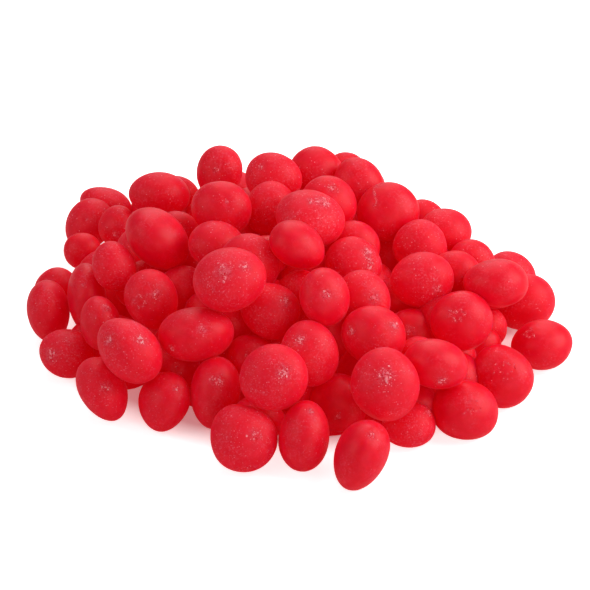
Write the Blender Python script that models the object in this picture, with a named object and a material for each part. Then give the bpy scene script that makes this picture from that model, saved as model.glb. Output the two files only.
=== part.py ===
"""Heap of cinnamon imperial candies.

A loose heap of small red boiled-sugar candies, each a flattened pebble about 9 mm across, lying as
poured on a level surface: a rounded top, a steep front and an uneven outline at the foot. The whole
heap is one body. The candies that show are true-size faceted pebbles, fused onto a low core that
stands in for the buried ones. Its flat underside rests on the surface.

Lengths are in millimetres until the heap is built, then in metres. +Z is up, the front is -Y, and
the origin is the middle of the heap's box at the level of the surface.
"""
import math

import bmesh
import bpy
import numpy as np
from mathutils import Matrix

MM = 0.001
ON_FLOOR = True

# The candy and the heap.
FLATNESS = 0.74                   # thickness of a candy over its length
BREADTH = 0.90                    # its second width over the length, where the view hides it
PEAK = np.array([0.0, 14.0])      # plan place of the heap's top
MIDDLE = np.array([0.0, 3.5])     # plan centre of the heap's foot
FOOT_RADIUS = 42.0                # of the outermost candies' centres
TOP_HIGH = 22.0                   # height of the candies' centres at the top
FOOT_HIGH = 4.2                   # and at the foot
SKIN_POWER = 1.6                  # how rounded the top is: 1 is a cone
GAP_DEPTH = 4.0                   # how far the candies seen in the gaps lie under the others
BITE = 0.015                      # share of their touching distance that two candies may overlap
SLIDES = 600                      # steps of sliding along the sight lines

# The candies that can't be seen from the front.
HIDDEN_ROUNDS = 4                 # how often the heap is filled and settled
HIDDEN_STEP = 1.7                 # grid of trial places
HIDDEN_LAYER = 1.4                # height between the grid's layers
HIDDEN_SHAKE = 0.8                # shaking of a trial place, each way
HIDDEN_FIT = 0.78                 # share of the touching distance at which a candy still goes in
HIDDEN_WIDTH = (8.4, 10.2)        # smallest and largest second width
HIDDEN_DEPTH = 11.0               # how far under the skin they are laid
SEED = 11

# The fused heap.
FACETED = 1.02                    # growth of a faceted pebble, toward the volume of a smooth one
CORE_UNDER = 4.0                  # how far the core's top lies under the skin
CORE_POWER = 1.8
CORE_LIP = 1.5                    # height of the core's upright edge
CORE_INSET = 0.5                  # from the outermost candies' centres to the core's edge
CORE_BEARINGS = 24
CORE_RINGS = 9
STRIP = 6.0                       # half width of the strip in which the outermost candy is found
PERCHED = 1.08                    # growth of one that rests on others and not on the core
LEAST_SUNK = 0.5                  # into the core, or else a candy counts as perched
LIFT = 0.02                       # least height of a pebble's lowest corner
LEAST_SHOWN = 1.0                 # a candy that stands out of the core by less is left buried
CANDY_RED = (0.72, 0.006, 0.018, 1.0)

# The heap is described as it is seen from its front. Each row is one candy, as (across, up, length,
# width, turn): its place and its two widths on the upright view plane through AIM, and the angle of
# its length in degrees, anticlockwise from level. ON_FLOOR marks one that lies on the surface.
# Within the list, a later candy is nearer to the eye.
EYE_TILT = math.radians(33.0)
EYE_FAR = 500.0
AIM = np.array([0.0, 0.0, 10.4])
TOWARD = np.array([0.0, -math.cos(EYE_TILT), math.sin(EYE_TILT)])
RIGHT = np.array([1.0, 0.0, 0.0])
UP = np.array([0.0, math.sin(EYE_TILT), math.cos(EYE_TILT)])
ZED = np.array([0.0, 0.0, 1.0])
EYE = AIM + EYE_FAR * TOWARD

# Candies of which only a part shows, deep in the gaps between the others.
GAP_ROWS = [
    (-29.9, -0.8, 7.8, 7.2, 0), (-19.6, -11.6, 8.2, 7.2, 0), (-18.3, 1.0, 8.2, 7.7, 20),
    (-14.4, -2.8, 7.5, 6.9, 0), (-10.9, -4.4, 7.5, 7.2, 0), (-7.7, -10.0, 8.5, 8.2, 0),
    (-4.7, 6.4, 7.5, 6.9, 0), (4.9, 6.0, 7.8, 7.2, 0), (7.7, -7.0, 8.2, 7.5, 0),
    (15.2, 5.4, 8.2, 7.5, 90), (16.8, -0.5, 7.5, 7.2, 0), (19.1, -5.9, 7.8, 7.5, 0),
    (6.2, -17.5, 9.8, 9.5, -45), (26.6, -0.3, 6.5, 5.9, 0),
]

# Candies that lie open to view, by where they are in the heap.
SEEN_ROWS = {
    "crest": [
        (8.2, 20.1, 6.9, 6.5, 0), (21.1, 12.1, 7.2, 6.9, -10), (-19.3, 16.0, 7.5, 6.9, 0),
        (-30.9, 14.7, 8.8, 5.9, -17), (-12.3, 20.1, 8.8, 7.5, 80), (3.4, 19.8, 9.2, 8.8, 0),
        (10.4, 18.1, 9.0, 8.3, -60), (-3.6, 19.0, 9.3, 8.5, -10),
    ],
    "behind the crest's front row": [
        (5.6, 14.9, 9.3, 8.8, -10), (9.6, 8.0, 8.5, 8.2, -20), (15.2, 13.6, 10.1, 10.0, 0),
        (24.7, 10.6, 8.5, 7.0, -12), (28.9, 5.4, 7.8, 7.2, -15),
        (35.1, 3.1, 8.5, 7.8, -20, ON_FLOOR),
    ],
    "left shoulder": [
        (-38.9, 1.3, 7.2, 6.5, 0, ON_FLOOR), (-33.7, 11.6, 8.8, 7.5, 60),
        (-29.1, 11.3, 6.9, 5.9, 80), (-34.8, 7.2, 6.2, 5.9, 0), (-22.2, 16.3, 10.1, 7.4, -6),
    ],
    "upper face": [
        (-4.1, 14.2, 8.8, 8.2, 60), (-12.1, 14.1, 10.1, 9.2, -20), (-19.3, 10.5, 7.2, 6.5, 0),
        (2.5, 12.4, 11.6, 9.5, -15), (9.6, 5.1, 9.6, 8.5, -15), (20.6, 7.7, 9.3, 8.8, -50),
        (26.3, 3.6, 8.2, 7.4, -20), (20.8, 2.5, 10.3, 9.3, 0),
    ],
    "middle face": [
        (0.7, 0.8, 7.2, 6.5, 0), (-12.7, 8.3, 9.3, 7.7, -5), (-7.4, 5.2, 10.1, 9.5, -30),
        (0.4, 8.2, 9.5, 7.5, -32), (-4.0, -2.5, 10.1, 9.3, -30), (-10.7, 2.6, 12.1, 10.5, 15),
    ],
    "left face": [
        (-34.0, -0.3, 11.4, 6.5, -87), (-29.6, 4.7, 8.3, 7.2, -70),
        (-40.3, -2.6, 10.3, 6.9, -85, ON_FLOOR), (-22.5, 9.3, 11.8, 8.8, -42),
        (-31.7, -4.6, 9.2, 6.7, -78), (-23.4, -0.7, 10.1, 8.7, -72),
        (-37.4, -9.5, 9.2, 8.0, -10, ON_FLOOR), (-31.5, -15.4, 11.1, 7.7, -62, ON_FLOOR),
        (-21.3, -17.4, 10.0, 8.3, 75, ON_FLOOR), (-27.1, -9.0, 12.3, 9.0, -44),
        (-16.1, -6.4, 12.6, 9.0, 3),
    ],
    "centre face": [
        (11.1, -0.7, 9.8, 9.2, -40), (4.9, -0.3, 9.8, 8.2, -80), (12.7, -6.6, 10.8, 9.8, -25),
        (2.4, -9.5, 10.8, 9.6, -70), (-3.4, -13.4, 11.6, 11.1, 20),
    ],
    "right face": [
        (37.5, -1.2, 10.1, 9.2, 30, ON_FLOOR), (31.5, -5.2, 6.9, 6.2, 90, ON_FLOOR),
        (32.8, 2.0, 10.5, 7.8, -3), (40.4, -8.2, 10.0, 8.3, 5, ON_FLOOR),
        (33.7, -13.2, 10.8, 10.0, -60, ON_FLOOR), (27.1, -4.2, 10.3, 9.8, 0),
        (18.6, -21.1, 9.0, 7.4, 10, ON_FLOOR), (27.8, -18.8, 11.1, 9.8, -15, ON_FLOOR),
        (20.4, -10.3, 7.2, 6.9, 0), (22.9, -11.3, 10.8, 8.0, -15), (14.8, -14.6, 12.1, 11.4, 80),
    ],
    "front foot": [
        (-13.2, -16.0, 11.8, 8.2, 85, ON_FLOOR), (-8.5, -23.4, 11.4, 10.9, -60, ON_FLOOR),
        (1.5, -23.1, 11.4, 8.5, 85, ON_FLOOR), (10.9, -26.0, 12.1, 8.5, 66, ON_FLOOR),
    ],
}

# Spots on the view plane where the surface shows between candies: (across, up, radius).
FLOOR_SPOTS = [(-36.8, -4.4, 1.2), (34.6, -7.0, 0.8), (22.1, -17.6, 0.8)]


def unit(v):
    """The vectors in v, each brought to length one."""
    return v / np.linalg.norm(v, axis=-1, keepdims=True)


def sight(across, up, length, width, turn, on_floor=False):
    """Line of sight, axes (as rows) and half sizes of one row's candy.

    Seen face on, a candy is as wide as its second width. The narrower it looks, the further its
    flat side is turned away, and the flat side leans upward."""
    ray = unit(AIM + across * RIGHT + up * UP - EYE)
    right = unit(np.cross(UP, -ray))
    over = np.cross(-ray, right)
    angle = math.radians(turn)
    along = math.cos(angle) * right + math.sin(angle) * over
    beside = math.cos(angle) * over - math.sin(angle) * right
    second = max(width, BREADTH * length)
    thick = min(width, FLATNESS * length)
    lean = math.asin(math.sqrt((second**2 - width**2) / (second**2 - thick**2)))
    if beside[2] < 0:
        beside = -beside
    flat = math.cos(lean) * -ray + math.sin(lean) * beside
    return ray, np.array([along, np.cross(flat, along), flat]), np.array([length, second, thick]) / 2


def skin_height(place):
    """Height of the skin that candy centres keep to: rounded over PEAK, falling to a round foot."""
    off = place[..., :2] - PEAK
    far = np.linalg.norm(off, axis=-1) + 1e-9
    lead = (off / far[..., None]) @ (PEAK - MIDDLE)
    rim = -lead + np.sqrt(lead**2 - (PEAK - MIDDLE) @ (PEAK - MIDDLE) + FOOT_RADIUS**2)
    return FOOT_HIGH + (TOP_HIGH - FOOT_HIGH) * (1 - np.clip(far / rim, 0, 1.3) ** SKIN_POWER)


def half_extent(axes, half, way):
    """How far each candy reaches from its centre along the direction way."""
    return np.sqrt(((axes @ way * half) ** 2).sum(-1))


def reach(axes, half, way):
    """Touching radius toward way: the mean of the candy's surface and its tangent plane."""
    local = np.einsum("...ab,...b->...a", axes, way)
    surface = 1 / np.sqrt(((local / half) ** 2).sum(-1))
    tangent = np.sqrt(((local * half) ** 2).sum(-1))
    return (surface + tangent) / 2


def pairs(place, axes, half):
    """For every two candies: the vector between them, its length, and the length at a touch."""
    apart = place[None] - place[:, None]
    dist = np.linalg.norm(apart, axis=2) + np.eye(len(place))
    way = apart / dist[..., None] + np.eye(len(place))[..., None] * RIGHT
    touch = reach(axes[:, None], half[:, None], way)
    return apart, dist, (touch + touch.T) * (1 - BITE)


def lay_seen(rows, in_gap):
    """Slide the candies along their lines of sight until all of them fit.

    One on the floor lies where its lowest point meets the surface. The others start on the skin,
    or under it in a gap. Where two would overlap, the nearer one moves toward the eye and the
    further one away from it; one in a gap always gives way to one in the open."""
    sights = [sight(*row) for row in rows]
    rays, axes, half = (np.array([s[k] for s in sights]) for k in range(3))
    floor = np.array([len(row) == 6 for row in rows])
    steep = -(rays @ TOWARD)

    depths = np.arange(0.88, 1.14, 0.0005) * EYE_FAR
    trial = EYE + depths[:, None, None] * rays
    low = trial[..., 2] - half_extent(axes, half, ZED) * depths[:, None] * steep / EYE_FAR
    lowest = depths[(low <= 0).argmax(0)]
    over = trial[..., 2] - skin_height(trial) + np.where(in_gap, GAP_DEPTH, 0)
    over[low < 0] = EYE_FAR
    start = np.where((over <= 0).any(0), (over <= 0).argmax(0), over.argmin(0))
    goal = np.where(floor, lowest, np.minimum(depths[start], lowest))

    give = np.where(floor, 0.0, 1.0)
    share = give[:, None] / np.maximum(give[:, None] + give, 1e-9)
    share[np.ix_(in_gap, ~in_gap)] = 1.0
    share[np.ix_(~in_gap, in_gap)] = 0.0
    depth = goal.copy()
    for step in range(SLIDES):
        place = EYE + depth[:, None] * rays
        apart, dist, touch = pairs(place, axes, half * (depth * steep / EYE_FAR)[:, None])
        along = apart @ TOWARD
        beside = np.sqrt(np.maximum(dist**2 - along**2, 0))
        need = np.sqrt(np.maximum(touch**2 - beside**2, 0))
        order = np.where((beside < 0.95 * touch) | (along >= 0), 1.0, -1.0)
        lack = np.triu(np.where(beside < touch, np.maximum(need - order * along, 0), 0), 1)
        push = order * lack
        count = np.maximum((lack * share > 0).sum(1) + (lack * share.T > 0).sum(0), 1)
        pull = 0.02 if step < 0.85 * SLIDES else 0.002
        depth += ((push * share).sum(1) - (push * share.T).sum(0)) / count
        depth = np.where(floor, lowest, np.minimum(depth + pull * (goal - depth), lowest))
    return EYE + depth[:, None] * rays, axes, half * (depth * steep / EYE_FAR)[:, None], rays, floor


def settle(place, axes, half, rays, floor, rank, steps):
    """Press overlapping candies apart. The lower rank gives way, and equals share the push.

    Those of rank 2, in the open, keep near their line of sight. The others stay under the skin and
    inside the foot."""
    home = place.copy()
    low = half_extent(axes, half, ZED)
    seen = (rank == 2)[:, None]
    share = np.where(rank[:, None] < rank, 1.0, np.where(rank[:, None] > rank, 0.0, 0.5))
    sideways = np.where(floor, 0.4, 0.2)[:, None]
    for _ in range(steps):
        apart, dist, touch = pairs(place, axes, half)
        press = np.maximum(touch - dist, 0)
        np.fill_diagonal(press, 0)
        move = -0.6 * ((share * press / dist)[..., None] * apart).sum(1)
        on_ray = (move * rays).sum(1, keepdims=True) * rays
        place = place + np.where(seen, on_ray + sideways * (move - on_ray), move)
        off = place - home
        off -= (off * rays).sum(1, keepdims=True) * rays
        place -= np.where(seen, 0.12 * off, 0)
        off = place[:, :2] - MIDDLE
        spread = np.maximum(np.linalg.norm(off, axis=1, keepdims=True) / FOOT_RADIUS, 1)
        place[:, :2] = np.where(seen, place[:, :2], MIDDLE + off / spread)
        held = np.where(rank < 2, np.minimum(place[:, 2], skin_height(place) + 0.5), place[:, 2])
        place[:, 2] = np.where(floor, low, np.maximum(held, low))
    return place


def on_view_plane(place, axes, half):
    """Centres of candies on the view plane, their outlines there, and their nearness to the eye.

    An outline is a 2 by 3 matrix that takes a unit ball to the ellipse."""
    from_eye = place - EYE
    near = from_eye @ TOWARD
    scale = -EYE_FAR / near
    frame = np.stack([RIGHT, UP], 1)
    shape = np.swapaxes((axes @ frame) * half[:, :, None], 1, 2) * scale[:, None, None]
    return (from_eye @ frame) * scale[:, None], shape, near


def covered(points, seen_view):
    """Nearness of the front candy of seen_view at each point, or -inf where there is none."""
    centre, shape, near = seen_view
    inverse = np.linalg.inv(shape @ np.swapaxes(shape, 1, 2))
    off = points[:, None] - centre
    inside = np.einsum("pna,nab,pnb->pn", off, inverse, off) < 1
    return np.where(inside, near, -np.inf).max(1)


def heap_outline(seen_view):
    """Across, highest and lowest places of the seen candies on the view plane."""
    centre, shape, _ = seen_view
    wide, high = np.sqrt((shape**2).sum(2)).T
    across = np.arange(-50.0, 50.0, 0.5)
    inside = np.sqrt(np.maximum(1 - ((across[:, None] - centre[:, 0]) / wide) ** 2, 0)) * high
    top = np.where(inside > 0, centre[:, 1] + inside, -EYE_FAR).max(1)
    bottom = np.where(inside > 0, centre[:, 1] - inside, EYE_FAR).min(1)
    return across, top, bottom


def stays_hidden(place, axes, half, seen_view, depth=1.0, margin=0.4):
    """Which candies the eye doesn't notice: behind seen ones, or deep in a gap between them.

    Each outline is tested at its centre and round its rim. A share of 1 - depth of it may come out
    in front of a seen one, and the heap's outline lies at least margin outside it."""
    outer = heap_outline(seen_view)
    centre, shape, near = on_view_plane(place, axes, half)
    root = np.linalg.cholesky(shape @ np.swapaxes(shape, 1, 2))
    turns = np.arange(12) * math.tau / 12
    rim = np.stack([np.cos(turns), np.sin(turns)], 1)
    hidden = np.ones(len(place), bool)
    for way in np.vstack([np.zeros((1, 2)), rim * 0.5, rim * 0.8, rim]):
        point = centre + root @ way
        front = covered(point, seen_view)
        top, bottom = (np.interp(point[:, 0], outer[0], edge) for edge in outer[1:])
        clear = (point[:, 1] < top - margin) & (point[:, 1] > bottom + margin)
        for across, up, radius in FLOOR_SPOTS:
            clear &= np.hypot(point[:, 0] - across, point[:, 1] - up) > radius
        deep = (front > near) | (np.linalg.norm(way) > depth)
        hidden &= np.where(np.isinf(front), clear, deep)
    return hidden


def fill_hidden(rng, place, axes, half, seen_count):
    """Add candies to the rest of the heap, from the floor up, where the eye doesn't see them.

    Trial places stand on a shaken grid, each with a candy that lies nearly flat. One is kept where
    it fits among the others, under the skin, and stays hidden."""
    grid = np.arange(-FOOT_RADIUS - 3, FOOT_RADIUS + 8, HIDDEN_STEP)
    levels = np.arange(FOOT_HIGH - 0.7, TOP_HIGH + 1, HIDDEN_LAYER)
    spot = np.stack(np.meshgrid(grid, grid, levels, indexing="ij"), -1).reshape(-1, 3)
    spot = spot + rng.uniform(-HIDDEN_SHAKE, HIDDEN_SHAKE, spot.shape)
    below = skin_height(spot) - spot[:, 2]
    spot = spot[(np.linalg.norm(spot[:, :2] - MIDDLE, axis=1) < FOOT_RADIUS)
                & (below > -0.3) & (below < HIDDEN_DEPTH)]
    count = len(spot)
    flat = unit(ZED + 0.5 * rng.normal(size=(count, 3)))
    first = unit(np.cross(flat, rng.normal(size=(count, 3))))
    turned = np.stack([first, np.cross(flat, first), flat], 1)
    ratio = rng.uniform((1.0, 0.9, 0.72), (1.14, 1.0, 0.8), (count, 3))
    sizes = ratio * rng.uniform(*HIDDEN_WIDTH, count)[:, None] / 2
    spot[:, 2] = np.maximum(spot[:, 2], half_extent(turned, sizes, ZED))

    seen_view = on_view_plane(place[:seen_count], axes[:seen_count], half[:seen_count])
    order = np.flatnonzero(stays_hidden(spot, turned, sizes, seen_view))
    order = order[np.argsort(spot[order, 2].round() + rng.uniform(0, 0.5, len(order)))]
    for k in order:
        apart = place - spot[k]
        dist = np.linalg.norm(apart, axis=1)
        near = np.flatnonzero(dist < 13)
        way = apart[near] / dist[near, None]
        touch = reach(axes[near], half[near], way) + reach(turned[k], sizes[k], way)
        if len(near) and (dist[near] > HIDDEN_FIT * touch).all():
            place = np.append(place, spot[k][None], 0)
            axes = np.append(axes, turned[k][None], 0)
            half = np.append(half, sizes[k][None], 0)
    return place, axes, half


def lay_heap():
    """Lay all candies. Returns their centres, axes and half sizes, which of them are in the rows
    above, and the middle of their box.

    The centres are measured from that middle, at the level of the surface."""
    rows = GAP_ROWS + [row for course in SEEN_ROWS.values() for row in course]
    rank = np.where(np.arange(len(rows)) < len(GAP_ROWS), 1, 2)
    place, axes, half, rays, floor = lay_seen(rows, rank == 1)
    place = settle(place, axes, half, rays, floor, rank, 150)
    rng = np.random.default_rng(SEED)
    for _ in range(HIDDEN_ROUNDS):
        place, axes, half = fill_hidden(rng, place, axes, half, len(rows))
        added = len(place) - len(rank)
        rays = np.append(rays, np.repeat(-TOWARD[None], added, 0), 0)
        floor = np.append(floor, np.zeros(added, bool))
        rank = np.append(rank, np.zeros(added, int))
        place = settle(place, axes, half, rays, floor, rank, 120)
        seen_view = on_view_plane(place[rank > 0], axes[rank > 0], half[rank > 0])
        keep = (rank > 0) | stays_hidden(place, axes, half, seen_view, 0.7, 0.0)
        place, axes, half, rays, floor, rank = (
            values[keep] for values in (place, axes, half, rays, floor, rank))
    ends = np.stack([half_extent(axes, half, way) for way in np.eye(3)], 1)
    middle = ((place - ends).min(0) + (place + ends).max(0)) / 2
    middle[2] = 0.0
    return place - middle, axes, half, rank > 0, middle


def core_edge(place, top):
    """Plan distance from the top to the core's edge on each bearing, under the outermost candies."""
    bearings = np.arange(CORE_BEARINGS) * math.tau / CORE_BEARINGS
    way = np.stack([np.cos(bearings), np.sin(bearings)])
    off = place[:, :2] - top
    along = off @ way
    aside = np.abs(off @ np.stack([-way[1], way[0]]))
    return np.where(aside < STRIP, along, 0).max(0) - CORE_INSET


def core_height(radius):
    """Height of the core's top at a share of the way out to its edge."""
    return CORE_LIP + (TOP_HIGH - CORE_UNDER - CORE_LIP) * (1 - radius**CORE_POWER)


def core_ring(ring):
    """Share of the way out, and height, of one ring, from the underside's middle to the top's."""
    if ring < 2:
        return float(ring), 0.0
    radius = (CORE_RINGS - ring) / (CORE_RINGS - 2)
    return radius, core_height(radius)


def make_core(top, edge):
    """A low dome with a flat underside: a sphere whose rings are moved into that form."""
    shape = bmesh.new()
    bmesh.ops.create_uvsphere(shape, u_segments=CORE_BEARINGS, v_segments=CORE_RINGS, radius=1.0)
    for corner in shape.verts:
        ring = round((1 - math.acos(max(-1.0, min(1.0, corner.co.z))) / math.pi) * CORE_RINGS)
        bearing = math.atan2(corner.co.y, corner.co.x)
        radius, height = core_ring(ring)
        spread = radius * edge[round(bearing / math.tau * CORE_BEARINGS) % CORE_BEARINGS]
        across = top[0] + spread * math.cos(bearing)
        back = top[1] + spread * math.sin(bearing)
        corner.co = (across * MM, back * MM, height * MM)
    mesh = bpy.data.meshes.new("candy_heap")
    shape.to_mesh(mesh)
    shape.free()
    return bpy.data.objects.new("candy_heap", mesh)


def round_mesh(name, fine):
    """A ball of radius 1, with 80 or with 56 triangles, and its corners."""
    shape = bmesh.new()
    if fine:
        bmesh.ops.create_icosphere(shape, subdivisions=2, radius=1.0)
    else:
        bmesh.ops.create_uvsphere(shape, u_segments=7, v_segments=5, radius=1.0)
    corners = np.array([corner.co for corner in shape.verts])
    mesh = bpy.data.meshes.new(name)
    shape.to_mesh(mesh)
    shape.free()
    return mesh, corners


def make_pebbles(place, axes, half, shown, top, edge):
    """One object for each candy that stands out of the core. Those in the rows above are finer."""
    balls = [round_mesh("pebble_of_the_back", False), round_mesh("pebble_of_the_front", True)]
    off = place[:, :2] - top
    bearing = np.arctan2(off[:, 1], off[:, 0]) / math.tau * CORE_BEARINGS % CORE_BEARINGS
    out_to_edge = np.interp(bearing, np.arange(CORE_BEARINGS + 1), np.append(edge, edge[0]))
    radius = np.minimum(np.linalg.norm(off, axis=1) / out_to_edge, 1)
    over = place[:, 2] - core_height(radius)
    high = half_extent(axes, half, ZED)
    stands_out = over + high
    growth = np.where(over - high > -LEAST_SUNK, PERCHED, FACETED)
    pebbles = []
    for k in np.flatnonzero(stands_out > LEAST_SHOWN):
        mesh, corners = balls[int(shown[k])]
        form = axes[k].T * half[k] * growth[k]
        lowest = place[k, 2] + (corners @ form.T)[:, 2].min()
        matrix = np.eye(4)
        matrix[:3, :3] = form * MM
        matrix[:3, 3] = (place[k] + ZED * max(0.0, LIFT - lowest)) * MM
        pebble = bpy.data.objects.new(f"pebble_{k:03d}", mesh)
        pebble.matrix_world = Matrix(matrix.tolist())
        pebbles.append(pebble)
    return pebbles


def join(body, pieces):
    """Fuse the pieces onto the body with one union, and remove them."""
    group = bpy.data.collections.new("pieces_to_join")
    bpy.context.scene.collection.children.link(group)
    for piece in pieces:
        group.objects.link(piece)
    union = body.modifiers.new("join", "BOOLEAN")
    union.operation = "UNION"
    union.operand_type = "COLLECTION"
    union.solver = "MANIFOLD"
    union.collection = group
    bpy.context.view_layer.update()
    evaluated = body.evaluated_get(bpy.context.evaluated_depsgraph_get())
    joined = bpy.data.meshes.new_from_object(evaluated)
    body.modifiers.remove(union)
    body.data = joined
    for piece in pieces:
        bpy.data.objects.remove(piece)
    bpy.data.collections.remove(group)


def shells(shape):
    """The separate closed surfaces of a mesh, as lists of faces."""
    left = set(shape.faces)
    found = []
    while left:
        edge = [left.pop()]
        shell = []
        while edge:
            face = edge.pop()
            shell.append(face)
            for side in face.edges:
                for other in side.link_faces:
                    if other in left:
                        left.remove(other)
                        edge.append(other)
        found.append(shell)
    return found


def keep_largest(body):
    """Drop sealed hollows and loose scraps, and stand the heap on the middle of its box."""
    shape = bmesh.new()
    shape.from_mesh(body.data)
    found = sorted(shells(shape), key=len)
    for shell in found[:-1]:
        bmesh.ops.delete(shape, geom=shell, context="FACES")
    bmesh.ops.triangulate(shape, faces=shape.faces)
    places = np.array([corner.co for corner in shape.verts])
    middle = (places.min(0) + places.max(0)) / 2
    middle[2] = places[:, 2].min()
    bmesh.ops.translate(shape, verts=shape.verts, vec=-middle)
    shape.to_mesh(body.data)
    shape.free()


def candy_material():
    """Red boiled sugar with a dull waxy skin."""
    material = bpy.data.materials.new("candy_red")
    material.use_nodes = True
    surface = material.node_tree.nodes["Principled BSDF"]
    surface.inputs["Base Color"].default_value = CANDY_RED
    surface.inputs["Roughness"].default_value = 0.5
    surface.inputs["Metallic"].default_value = 0.0
    return material


def main():
    for old in list(bpy.data.objects):
        bpy.data.objects.remove(old)
    place, axes, half, shown, middle = lay_heap()
    top = PEAK - middle[:2]
    edge = core_edge(place, top)
    heap = make_core(top, edge)
    collection = bpy.data.collections.new("cinnamon_candy_heap")
    bpy.context.scene.collection.children.link(collection)
    collection.objects.link(heap)
    join(heap, make_pebbles(place, axes, half, shown, top, edge))
    keep_largest(heap)
    heap.data.materials.clear()
    heap.data.materials.append(candy_material())


main()
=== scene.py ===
# %% [markdown]
# # A heap of cinnamon imperial candies
#
# Cinnamon imperials are small red boiled sweets. Sugar centres are tumbled in a drum while hot red
# syrup is poured over them, so each one grows into a smooth, slightly flattened pebble about 9 mm
# across, never quite round and never quite like its neighbour. The skin is waxy and dull, dusted
# with fine sugar, and where a candy stuck to another one it keeps a rough white patch.
#
# This lesson builds the whole heap: it starts from a solid made to size, hides it, and lays the
# real candies in its place. Lengths are in millimetres until a piece is made.

import math

import bpy
import numpy as np
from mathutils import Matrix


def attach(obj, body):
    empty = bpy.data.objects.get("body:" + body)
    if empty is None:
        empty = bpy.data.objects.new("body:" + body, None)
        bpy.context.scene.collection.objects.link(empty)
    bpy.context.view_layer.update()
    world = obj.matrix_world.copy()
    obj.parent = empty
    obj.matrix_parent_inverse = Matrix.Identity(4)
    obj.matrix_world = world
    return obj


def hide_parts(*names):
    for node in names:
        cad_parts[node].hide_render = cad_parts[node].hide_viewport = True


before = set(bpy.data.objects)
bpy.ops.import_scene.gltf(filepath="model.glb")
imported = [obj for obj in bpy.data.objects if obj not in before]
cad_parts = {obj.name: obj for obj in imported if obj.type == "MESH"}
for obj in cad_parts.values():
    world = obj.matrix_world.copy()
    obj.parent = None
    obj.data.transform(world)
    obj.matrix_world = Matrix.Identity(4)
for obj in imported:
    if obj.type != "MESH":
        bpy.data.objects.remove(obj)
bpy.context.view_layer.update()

# %% [markdown]
# ## Where each candy lies
#
# A poured heap could be made with a physics simulation, but then no candy would lie where it does
# on the real heap. Here the heap is described as it looks from its front. Each row is one candy as
# (across, up, length, width, turn): its place and its two widths on an upright view plane, and the
# angle of its length in degrees. ON_FLOOR marks one that touches the surface. Later rows are nearer
# to the eye. The rows are the same as those of the solid, so both heaps are one heap.

# %% The eye and the view plane
EYE_TILT = math.radians(33.0)
EYE_FAR = 500.0
AIM = np.array([0.0, 0.0, 10.4])
TOWARD = np.array([0.0, -math.cos(EYE_TILT), math.sin(EYE_TILT)])
RIGHT = np.array([1.0, 0.0, 0.0])
UP = np.array([0.0, math.sin(EYE_TILT), math.cos(EYE_TILT)])
ZED = np.array([0.0, 0.0, 1.0])
EYE = AIM + EYE_FAR * TOWARD
print("eye, mm:", EYE.round(1))

# %% Rows: candies seen deep in the gaps
ON_FLOOR = True
GAP_ROWS = [
    (-29.9, -0.8, 7.8, 7.2, 0), (-19.6, -11.6, 8.2, 7.2, 0), (-18.3, 1.0, 8.2, 7.7, 20),
    (-14.4, -2.8, 7.5, 6.9, 0), (-10.9, -4.4, 7.5, 7.2, 0), (-7.7, -10.0, 8.5, 8.2, 0),
    (-4.7, 6.4, 7.5, 6.9, 0), (4.9, 6.0, 7.8, 7.2, 0), (7.7, -7.0, 8.2, 7.5, 0),
    (15.2, 5.4, 8.2, 7.5, 90), (16.8, -0.5, 7.5, 7.2, 0), (19.1, -5.9, 7.8, 7.5, 0),
    (6.2, -17.5, 9.8, 9.5, -45), (26.6, -0.3, 6.5, 5.9, 0),
]

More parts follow.
